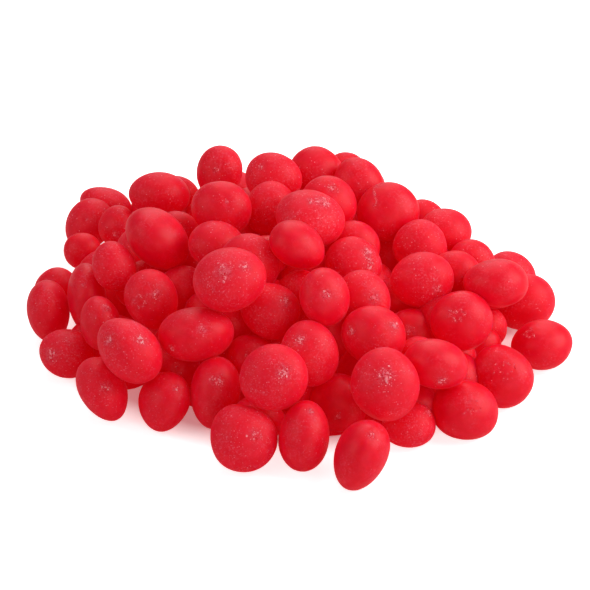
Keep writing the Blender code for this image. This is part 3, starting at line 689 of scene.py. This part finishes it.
def join_arrays(parts):
    """Several (points, faces, ...) as one, with the faces counted on."""
    first = np.cumsum([0] + [len(part[0]) for part in parts[:-1]])
    points = np.vstack([part[0] for part in parts])
    faces = [np.vstack([part[n] + start for part, start in zip(parts, first)]) for n in (1, 2)]
    values = [np.concatenate([part[n] for part in parts]) for n in range(3, len(parts[0]))]
    return points, *faces, *values


# %% [markdown]
# ## The candies, course by course
#
# Some candies of the heap are dusty with sugar and others nearly clean. Each has a tone for that,
# from -1 for clean to 1 for dusty. The real ones that stand out are listed by a place on them, and
# the others get a tone at random. Those low in the gaps and in the bed get the clean tone, which
# makes them a deeper red without frost: partly they are clean, partly this is painted shade, for they
# lie in the shade between the others. Each course of the rows then becomes one piece.

# %% How dusty each candy is
DUSTY = [(-10.9, 3.3), (4.6, 13.1), (-8.2, 6.2), (20.4, 9.0), (-40.0, -9.5), (-7.7, -22.7),
         (-25.0, -9.7), (-30.8, -15.0), (18.5, -20.2), (-1.8, -12.0)]
CLEAN = [(-22.5, 9.5), (34.0, 2.0), (26.4, -3.3), (23.0, -11.0), (40.5, -8.1), (34.3, -11.0),
         (0.5, 8.5), (16.0, 14.5), (12.5, -26.0), (28.4, -18.4)]
TONES = (-0.7, 0.7)               # range of the other tones
TONE_SEED = 3

tone = np.random.default_rng(TONE_SEED).uniform(*TONES, len(place))
# Candies low in the gaps and in the bed get the clean tone: partly clean skin, partly painted shade,
# as it makes them a deeper red without frost.
tone[laid:] = tone[:len(GAP_ROWS)] = -1.0
for value, places in ((1.0, DUSTY), (-1.0, CLEAN)):
    tone[[first_met(*at)[0] for at in places]] = value
print("tones, from clean to dusty:", tone.min().round(2), "to", tone.max().round(2))

# %% Candies by their part of the heap
surfaces = [candy_surface(k, own) for k, own in enumerate(marks)]


def make_candies(name, numbers, fineness):
    """One piece of all the candies numbered, each with its roughness and tone at every point."""
    parts = []
    for k in numbers:
        q, quads, tips = globe(marks[k][0][0], fineness)
        points, rough = surfaces[k](q)
        parts.append((points, quads, tips, rough, np.full(len(q), tone[k])))
    points, quads, tips, rough, tones = join_arrays(parts)
    return make_piece(name, points, quads, tips, rough=rough, tone=tones)


first = len(GAP_ROWS)
pieces = [make_candies("candies_in_the_gaps", range(first), FINE)]
for course, rows in SEEN_ROWS.items():
    name = "candies_" + course.replace("'s", "").replace(" ", "_")
    pieces.append(make_candies(name, range(first, first + len(rows)), FINE))
    first += len(rows)
pieces.append(make_candies("candies_at_the_back", range(first, laid), PLAIN))
pieces.append(make_candies("candies_in_the_bed", range(laid, len(place)), DEEP))

# %% [markdown]
# ## Sugar grains
#
# The pale specks on the real candies are grains of sugar, the larger ones a tenth to a third of a
# millimetre long. They are too small for the candy's mesh, but as real boxes with six faces they
# catch the light one by one. They crowd in the rough marks and lie thinly everywhere else, each
# sunk partly into the skin. Those of all candies are one piece, with a few triangles each.

# %% Scatter the grains
BOX = np.array([(x, y, z) for x in (-1, 1) for y in (-1, 1) for z in (-1, 1)], float)
BOX_FACES = np.array([(0, 1, 3, 2), (4, 6, 7, 5), (0, 4, 5, 1), (2, 3, 7, 6), (0, 2, 6, 4),
                      (1, 5, 7, 3)])
GRAIN_FORM = np.array([1.0, 0.75, 0.6])   # its length, width and thickness over its length
MARK_GRAINS = 26                  # number in a mark of 1 mm radius
MARK_GRAINS_POWER = 1.5           # of the radius, for other marks
MARK_GRAINS_RANGE = (0.5, 1.3)    # fewest and most, over that number
MARK_GRAIN_LEAST = 0.03           # half length of the smallest in a mark
MARK_GRAIN_MOST = (0.04, 0.11)    # of the largest: the first, and the second for 1 mm of radius
MARK_GRAIN_SPREAD = (0.6, 0.28)   # stray over the mark's radius, of the smallest and the largest
LOOSE_GRAINS = (0, 45)            # number on one candy outside its marks
LOOSE_GRAIN = (0.016, 0.030)      # their half length
GRAIN_LOWEST = 0.02               # height over the table that every corner keeps
GRAIN_SEED = 8


def grains_on(k, rng):
    """Boxes on candy k: directions gathered round its marks, and all over it.

    A grain's corner is its point on the surface + turn * (box corner * form * half length)."""
    poles, spread, length = [], [], []
    for pole, radius in marks[k]:
        count = int(MARK_GRAINS * radius**MARK_GRAINS_POWER * rng.uniform(*MARK_GRAINS_RANGE))
        largest = MARK_GRAIN_MOST[0] + MARK_GRAIN_MOST[1] * radius
        poles.append(np.repeat(pole[None], count, 0))
        spread.append(radius * np.linspace(*MARK_GRAIN_SPREAD, count))
        length.append(np.geomspace(MARK_GRAIN_LEAST, largest, count))
    count = rng.integers(*LOOSE_GRAINS)
    poles.append(unit(rng.normal(size=(count, 3))))
    spread.append(np.zeros(count))
    length.append(rng.uniform(*LOOSE_GRAIN, count))
    length = np.concatenate(length)
    jitter = rng.normal(size=(len(length), 3)) * np.concatenate(spread)[:, None] / half[k]
    points, _ = surfaces[k](unit(np.concatenate(poles) + jitter))
    turn = np.linalg.qr(rng.normal(size=(len(length), 3, 3)))[0]
    turn[:, :, 0] *= np.linalg.det(turn)[:, None]
    corners = np.einsum("nab,cb->nca", turn, BOX * GRAIN_FORM) * length[:, None, None]
    corners = points[:, None] + corners
    corners[:, :, 2] = np.maximum(corners[:, :, 2], GRAIN_LOWEST)
    return corners


rng = np.random.default_rng(GRAIN_SEED)
grains = np.concatenate([grains_on(k, rng) for k in range(laid)])
grain_faces = (np.arange(len(grains))[:, None, None] * 8 + BOX_FACES).reshape(-1, 4)
sugar = make_piece("sugar_grains", grains.reshape(-1, 3), grain_faces)
sugar.data.shade_flat()
print("grains:", len(grains))

# %% [markdown]
# ## The core
#
# Deep between the candies the eye meets more candies, and under them darkness. A low red core fills
# the bottom of the heap, so that no light comes up through it from the table. Its edge follows the
# outermost candies and stays well inside them, and more so at the back, where the gaps between
# them are wider.

# %% Make the core
CORE_BEARINGS = 72
CORE_RINGS = 24
CORE_UNDER = 11.0                 # depth of its top under the heap's
CORE_INSET = (8.0, 15.0)          # inside the outermost candies' centres, in front and behind
CORE_ASIDE = 7.0                  # how far from a bearing a candy still counts for it
CORE_LIP = 1.2                    # height of its edge
CORE_LOWEST = 0.3                 # and of its underside
CORE_LUMP = 0.8                   # height of its lumps
CORE_WAVES = (14, 0.5, 1.1)       # number of waves in them, and range of radians in a millimetre
CORE_SEED = 2


def core_edge(top):
    """Plan distance from the top to the core's edge on each bearing.

    On a bearing it is the furthest candy centre within CORE_ASIDE to either side, less the inset,
    as a running mean over nine bearings."""
    bearing = np.arange(CORE_BEARINGS) * math.tau / CORE_BEARINGS
    way = np.stack([np.cos(bearing), np.sin(bearing)])
    off = place[:laid, :2] - top
    aside = np.abs(off @ np.stack([-way[1], way[0]]))
    inset = np.interp(way[1], (-1, 1), CORE_INSET)
    edge = np.where(aside < CORE_ASIDE, off @ way, 0).max(0) - inset
    return bearing, sum(np.roll(edge, turn) for turn in range(-4, 5)) / 9


def make_core():
    """A dome: height = lip + (top - lip)(1 - r^2) over bearings and rings r, closed by a flat
    underside, with long waves for lumps."""
    top = PEAK - middle[:2]
    bearing, edge = core_edge(top)
    radius = np.concatenate([np.linspace(0, 1, CORE_RINGS)[1:], [1.0]])[:, None]
    high = TOP_HIGH - CORE_UNDER
    dome = CORE_LIP + (high - CORE_LIP) * (1 - radius**2)
    dome[-1] = CORE_LOWEST
    x = top[0] + radius * edge * np.cos(bearing)
    y = top[1] + radius * edge * np.sin(bearing)
    z = np.repeat(dome, CORE_BEARINGS, 1)
    points = np.vstack([(*top, high), np.stack([x, y, z], -1).reshape(-1, 3), (*top, CORE_LOWEST)])
    lump = waves(points, *CORE_WAVES, np.random.default_rng(CORE_SEED)) * CORE_LUMP
    raised = np.maximum(points[:, 2] + lump, CORE_LIP)
    points[:, 2] = np.where(points[:, 2] > CORE_LIP, raised, points[:, 2])
    return make_piece("buried_core", points * SHRINK, *ball_faces(CORE_BEARINGS, CORE_RINGS))


core = make_core()

# %% [markdown]
# ## Materials
#
# A material is a small program over the surface. To write it as plain arithmetic, one class wraps a
# node's output and turns each operator into a Math node, and one method makes any other node.

# %% Shader arithmetic
class Number:
    """A number that varies over the surface. Arithmetic on it adds Math nodes."""

    def __init__(self, shader, socket):
        self.shader = shader
        self.socket = socket

    def _math(self, operation, first, second):
        """The result of a Math node on two numbers."""
        node = self.shader.node("ShaderNodeMath", {"operation": operation}, {0: first, 1: second})
        return Number(self.shader, node.outputs[0])

    def __add__(self, other):
        return self._math("ADD", self, other)

    def __sub__(self, other):
        return self._math("SUBTRACT", self, other)

    def __rsub__(self, other):
        return self._math("SUBTRACT", other, self)

    def __mul__(self, other):
        return self._math("MULTIPLY", self, other)

    def __gt__(self, other):
        return self._math("GREATER_THAN", self, other)

    def above(self, low, high):
        """0 up to low, 1 from high, and a straight rise between."""
        node = self.shader.node("ShaderNodeMapRange", {"clamp": True},
                                {"Value": self, "From Min": low, "From Max": high})
        return Number(self.shader, node.outputs["Result"])

    __radd__ = __add__
    __rmul__ = __mul__


class Shader:
    """A material with a Principled BSDF, and the node maker."""

    def __init__(self, name):
        self.material = bpy.data.materials.new(name)
        self.material.use_nodes = True
        self.tree = self.material.node_tree
        self.surface = self.tree.nodes["Principled BSDF"]

    def node(self, kind, settings=None, inputs=None):
        """A node of a kind, with its settings first, then its sockets' values or links."""
        node = self.tree.nodes.new(kind)
        for key, value in (settings or {}).items():
            setattr(node, key, value)
        self.feed(node, inputs or {})
        return node

    def feed(self, node, inputs):
        """Give a node's sockets numbers, colours, or links."""
        for key, value in inputs.items():
            value = value.socket if isinstance(value, Number) else value
            if isinstance(value, bpy.types.NodeSocket):
                self.tree.links.new(value, node.inputs[key])
            else:
                node.inputs[key].default_value = value

    def noise(self, size, detail=2.0, roughness=0.5):
        """Noise with features of the given size in millimetres, from 0 to 1 about 0.5."""
        node = self.node("ShaderNodeTexNoise", {}, {
            "Vector": self.place(), "Scale": 1000 / size, "Detail": detail, "Roughness": roughness})
        return Number(self, node.outputs["Fac"])

    def place(self):
        """Object coordinates, in metres."""
        return self.node("ShaderNodeTexCoord").outputs["Object"]

    def value(self, name):
        """A named point value of the piece."""
        return Number(self, self.node("ShaderNodeAttribute", {"attribute_name": name}).outputs["Fac"])

    def mix(self, factor, first, second):
        """Colour first, going over to second as the factor rises."""
        node = self.node("ShaderNodeMix", {"data_type": "RGBA"}, {0: factor, 6: first, 7: second})
        return node.outputs[2]

    def bump(self, height, size):
        """A normal from a height, whose full range stands for size in millimetres."""
        node = self.node("ShaderNodeBump", {}, {
            "Strength": 1.0, "Distance": size / 1000, "Height": height})
        return node.outputs["Normal"]


# %% [markdown]
# ## Red boiled sugar
#
# The candy is a deep, slightly see-through red under a thin waxy skin. Light goes in a little way
# and comes out redder, which subsurface scattering gives, and a weak glow stands in for the light
# that candies pass on to each other. So the shadows between them are a dark red and don't turn
# black. The skin scatters light without gloss. A fine frost of sugar dust makes it paler in places,
# with single bright specks, and the rough marks are whiter still.

# %% Candy material
RED = (0.85, 0.0005, 0.025, 1)
DEEP_RED = (0.76, 0.0002, 0.019, 1)
FROST = (0.88, 0.17, 0.25, 1)
SPECK = (0.95, 0.36, 0.44, 1)
SHEEN = (1.0, 0.7, 0.75, 1)
# Painted light: the candy gives off a weak red glow that stands in for light the candies pass on to
# each other, and lifts the shade between them.
PAINTED_BOUNCE_RED = (1.0, 0.0, 0.01, 1)
CANDY_PAINTED_GLOW = 0.072
LIGHT_DEPTH = 2.6                 # how far red light goes in, in millimetres
CLOUDS = 4.0                      # sizes in millimetres: dusty and clean areas of the skin
STREAKS = 1.1                     # lighter and darker red
DUST = 0.38                       # frost
CRUST = 0.22                      # crumbs in the rough marks
SPECKS = 0.25                     # distance between specks
SPECK_EDGE = (0.15, 0.45)         # where a speck begins to fade, and where it ends, over that
SPECK_LIMIT = 0.92                # over which a cell's draw and dustiness give it a speck
BUMP = 0.028                      # height that the skin's bumps stand for


def candy_material():
    """Colour = red, paler by frost = dust over clouds, tone and crust, and palest in the specks.

    A speck sits in the middle of a Voronoi cell whose random number, with the dustiness added, is
    over SPECK_LIMIT, and a second number says how bright it is."""
    shader = Shader("candy_red")
    rough = shader.value("rough")
    tone = shader.value("tone")
    cloud = shader.noise(CLOUDS, 2.0)
    streak = shader.noise(STREAKS, 3.0, 0.6)
    dust = shader.noise(DUST, 4.0, 0.7)
    cells = shader.node("ShaderNodeTexVoronoi", {}, {
        "Vector": shader.place(), "Scale": 1000 / SPECKS})
    near_middle = 1 - Number(shader, cells.outputs["Distance"]).above(*SPECK_EDGE)
    chosen = shader.node("ShaderNodeSeparateColor", {}, {"Color": cells.outputs["Color"]})
    dusty = cloud.above(0.40, 0.65) * 0.20 + tone * 0.17 + rough * 0.4
    speck = near_middle * (dusty + Number(shader, chosen.outputs[0]) > SPECK_LIMIT)
    bright = Number(shader, chosen.outputs[1])
    crust = shader.noise(CRUST, 3.0, 0.6).above(0.42, 0.62)
    frost = (dust.above(0.49, 0.66) * (cloud.above(0.38, 0.65) * 0.36 + tone * 0.08 + 0.02)
             + streak.above(0.5, 0.75) * 0.04 + rough * crust * 0.50)
    body = shader.mix(streak.above(0.3, 0.7) * 0.8 + tone * 0.2, DEEP_RED, RED)
    dusted = shader.mix(frost, body, FROST)
    colour = shader.mix(speck * bright * bright * bright, dusted, SPECK)
    shader.feed(shader.surface, {
        "Base Color": colour,
        "Roughness": dust * 0.3 + 0.31 + tone * 0.06 - rough * 0.12,
        "Specular IOR Level": 0.26,
        "Subsurface Weight": 0.9,
        "Subsurface Radius": (1.0, 0.06, 0.06),
        "Subsurface Scale": LIGHT_DEPTH / 1000,
        "Sheen Weight": 0.06,
        "Sheen Roughness": 0.25,
        "Sheen Tint": SHEEN,
        # painted glow, for light passed on between candies
        "Emission Color": PAINTED_BOUNCE_RED,
        "Emission Strength": CANDY_PAINTED_GLOW,
        "Normal": shader.bump(dust * 0.6 + crust * (rough * 3 + 0.2), BUMP),
    })
    return shader.material


candy_red = candy_material()
print("nodes in the candy's material:", len(candy_red.node_tree.nodes))

# %% Sugar material
PALE_GRAINS = (0.97, 0.50, 0.55, 1)
RED_GRAINS = (0.88, 0.11, 0.17, 1)
# Painted light: the grains give off the same weak red glow as the candy, for light that comes to them
# from it.
GRAIN_PAINTED_GLOW = 0.1


def sugar_material():
    """Pale grains, tinted by the red below them: pink to red, in areas of about 0.8 mm, with a weak
    painted red glow.
    """
    shader = Shader("sugar")
    shader.feed(shader.surface, {
        "Base Color": shader.mix(shader.noise(0.8).above(0.33, 0.60), PALE_GRAINS, RED_GRAINS),
        "Roughness": shader.noise(0.2) * 0.3 + 0.2,
        "Emission Color": PAINTED_BOUNCE_RED,
        "Emission Strength": GRAIN_PAINTED_GLOW,
    })
    return shader.material


white_sugar = sugar_material()
print("nodes in the sugar's material:", len(white_sugar.node_tree.nodes))

# %% Dress the pieces
for piece in [*pieces, core]:
    piece.data.materials.append(candy_red)
sugar.data.materials.append(white_sugar)
for piece in [*pieces, core, sugar]:
    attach(piece, "root")
    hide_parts("candy_heap")

# %% [markdown]
# ## The studio
#
# The heap lies on a white table that glows, as a lit light table does, so that it stays white right
# up to the candies. Under the heap its glow is dimmer and pink, in an ellipse that ends inside the
# outer candies: this is painted shade, and it makes the floor seen in the gaps a dusky pink. A
# glowing table would also light the candies from below, where the real ones are dark. So only the
# camera sees that glow. To all other light the table is a pale grey that also glows a weak red. That
# glow is painted light, standing in for red light thrown back from the candies.
#
# Five large soft lights and a pale sky light the heap: the key from the right, a fill from the
# left, one from above, a rim light from behind and a low one in front.

# %% Table
TABLE_HALF = 4000                 # half width of the table, in millimetres
TABLE_WHITE = (0.95, 0.95, 0.95, 1)
TABLE_GREY = (0.6, 0.6, 0.6, 1)   # for light that falls on the candies
# Painted light: to all rays but the camera's the table glows this weak red, standing in for red light
# thrown back from the candies.
TABLE_PAINTED_RED_LIGHT = (0.28, 0.0, 0.009, 1)
CLEAR_GLOW = (1, 1, 1, 1)
# Painted shade: under the heap the table's glow is dimmed and turned pink, in an ellipse that ends
# inside the outer candies. It stands for the shade and red light among their feet.
PAINTED_SHADE_GLOW = (0.34, 0.24, 0.25, 1)
TABLE_GLOW = 0.76
PAINTED_SHADE_NARROW = 0.82                 # depth over width of the dim ellipse
PAINTED_SHADE_EDGE = (28.5, 33.5)           # half its depth in millimetres: where it ends, and all is clear


def make_table():
    """A square at height 0. Its glow is dimmed to a pink painted shade where the length of (the
    narrowing times x, y) is under the first edge value, and clear where it is over the second."""
    shader = Shader("white_table")
    seen = Number(shader, shader.node("ShaderNodeLightPath").outputs["Is Camera Ray"])
    narrower = shader.node("ShaderNodeVectorMath", {"operation": "MULTIPLY"},
                           {0: shader.place(), 1: (PAINTED_SHADE_NARROW, 1, 1)})
    length = shader.node("ShaderNodeVectorMath", {"operation": "LENGTH"},
                         {0: narrower.outputs["Vector"]})
    clear = Number(shader, length.outputs["Value"]).above(*(edge / 1000 for edge in PAINTED_SHADE_EDGE))
    # painted shade under the heap: dim pink inside the ellipse, clear white outside
    glow_and_painted_shade = shader.mix(clear, PAINTED_SHADE_GLOW, CLEAR_GLOW)
    shader.feed(shader.surface, {
        "Base Color": shader.mix(seen, TABLE_GREY, TABLE_WHITE),
        "Roughness": 0.9,
        "Specular IOR Level": 0.1,
        "Emission Color": shader.mix(seen, TABLE_PAINTED_RED_LIGHT, glow_and_painted_shade),
        "Emission Strength": TABLE_GLOW,
    })
    corner = np.array([(-1, -1, 0), (1, -1, 0), (1, 1, 0), (-1, 1, 0)], float) * TABLE_HALF
    table = make_piece("table", corner, np.array([[0, 1, 2, 3]]))
    table.data.materials.append(shader.material)


make_table()

# %% Lights
LIGHTS = {                        # bearing and height in degrees, distance and size in metres, watts
    "key": (84, 38, 0.30, 0.24, 0.65),
    "fill": (-68, 36, 1.20, 0.80, 2.8),
    "overhead": (180, 62, 0.60, 0.45, 0.95),
    "rim": (178, 28, 0.60, 0.35, 0.6),
    "front": (22, 13, 0.80, 0.60, 1.3),
}
SKY = 0.17                        # strength of the white sky


def soft_light(name, bearing, height, distance, size, watts):
    """A square area light facing the heap: bearing from the front to the right, in degrees."""
    data = bpy.data.lights.new(name, "AREA")
    data.shape = "SQUARE"
    data.size = size
    data.energy = watts
    light = bpy.data.objects.new(name, data)
    bpy.context.scene.collection.objects.link(light)
    turn, rise = math.radians(bearing), math.radians(height)
    way = np.array([math.sin(turn) * math.cos(rise), -math.cos(turn) * math.cos(rise),
                    math.sin(rise)])
    light.location = way * distance
    light.rotation_euler = (math.pi / 2 - rise, 0, turn)


for name, values in LIGHTS.items():
    soft_light(name, *values)
world = bpy.data.worlds.new("sky")
world.use_nodes = True
world.node_tree.nodes["Background"].inputs["Color"].default_value = (1, 1, 1, 1)
world.node_tree.nodes["Background"].inputs["Strength"].default_value = SKY
bpy.context.scene.world = world
bpy.context.scene.view_settings.view_transform = "Standard"
print("lights:", len(LIGHTS))

# %% [markdown]
# ## The camera
#
# The camera stands where the rows were read from: the eye looks square at the view plane. The whole
# heap is drawn at SHRINK of its laid size about its middle, so the eye is brought nearer by the same
# share, and the picture stays the same.

# %% Camera
PIXELS_PER_MM = 6.12              # on the view plane
PICTURE = 590                     # width of the picture, in pixels
SENSOR = 36                       # width of the camera's sensor
camera = bpy.data.objects.new("camera", bpy.data.cameras.new("camera"))
bpy.context.scene.collection.objects.link(camera)
camera.data.sensor_width = SENSOR
camera.data.lens = SENSOR * EYE_FAR * PIXELS_PER_MM / PICTURE
camera.location = (EYE - middle) * SHRINK * 0.001
camera.rotation_euler = (math.pi / 2 - EYE_TILT, 0, 0)
bpy.context.scene.camera = camera
print("lens, mm:", round(camera.data.lens, 2))
